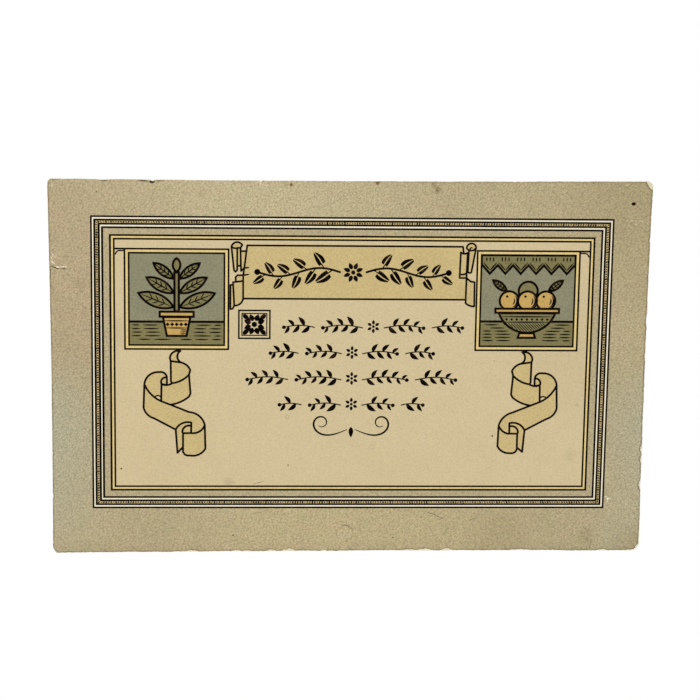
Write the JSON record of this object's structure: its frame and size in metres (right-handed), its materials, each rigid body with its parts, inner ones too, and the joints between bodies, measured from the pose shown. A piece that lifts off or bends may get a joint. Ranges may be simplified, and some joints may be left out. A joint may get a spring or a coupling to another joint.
{
  "type": "postcard",
  "caption": "Old picture postcard of pasted board, with printed frame, scroll banner, folded ribbons and framed pictures on its face and a divided address side on its back.",
  "frame": {"origin": "middle of the back of the card, on the surface that it lies on", "axes": "+X to the right along the printed lines, +Y towards the top edge, +Z out of the printed face"},
  "size_m": [0.1396, 0.0888, 0.0004],
  "materials": {
    "face_stock": "smooth coated paper, yellowed, matt",
    "core_stock": "soft pulp board, matt, fibrous where torn",
    "back_stock": "uncoated paper, yellowed and foxed, matt",
    "dried_paste": "dried starch paste, dull",
    "back_ink": "thin brown-black printing ink, matt",
    "border_ink": "olive grey tint ink, matt, rubbed at the edges",
    "hatch_ink": "brown tint ink, matt",
    "ochre_ink": "ochre ink, matt",
    "cream_ink": "cream tint ink, matt",
    "straw_ink": "straw tint ink, matt",
    "grey_ink": "green grey ink, matt",
    "olive_ink": "olive ink, matt",
    "amber_ink": "amber ink, matt",
    "black_ink": "brown-black key ink, matt"
  },
  "bodies": {
    "root": {"back_paper": "back_stock", "back_paste": "dried_paste", "core_board": "core_stock", "front_paste": "dried_paste", "face_paper": "face_stock", "divider_rule": "back_ink", "stamp_box": "back_ink", "border_tint": "border_ink", "hatched_band": "hatch_ink", "grey_band": "border_ink", "ochre_line": "ochre_ink", "panel_tint": "cream_ink", "banner_tint": "straw_ink", "banner_lines": "black_ink", "frame_rule_1": "black_ink", "frame_rule_2": "black_ink", "frame_rule_3": "black_ink", "frame_rule_4": "black_ink", "frame_rule_5": "black_ink", "frame_rule_6": "black_ink", "shelf_lines": "black_ink", "ribbon_tints": "straw_ink", "ribbon_lines": "black_ink", "picture_borders": "ochre_ink", "picture_grounds": "grey_ink", "picture_rules": "black_ink", "picture_greens": "olive_ink", "picture_ochres": "amber_ink", "picture_lines": "black_ink"}
  },
  "joints": []
}
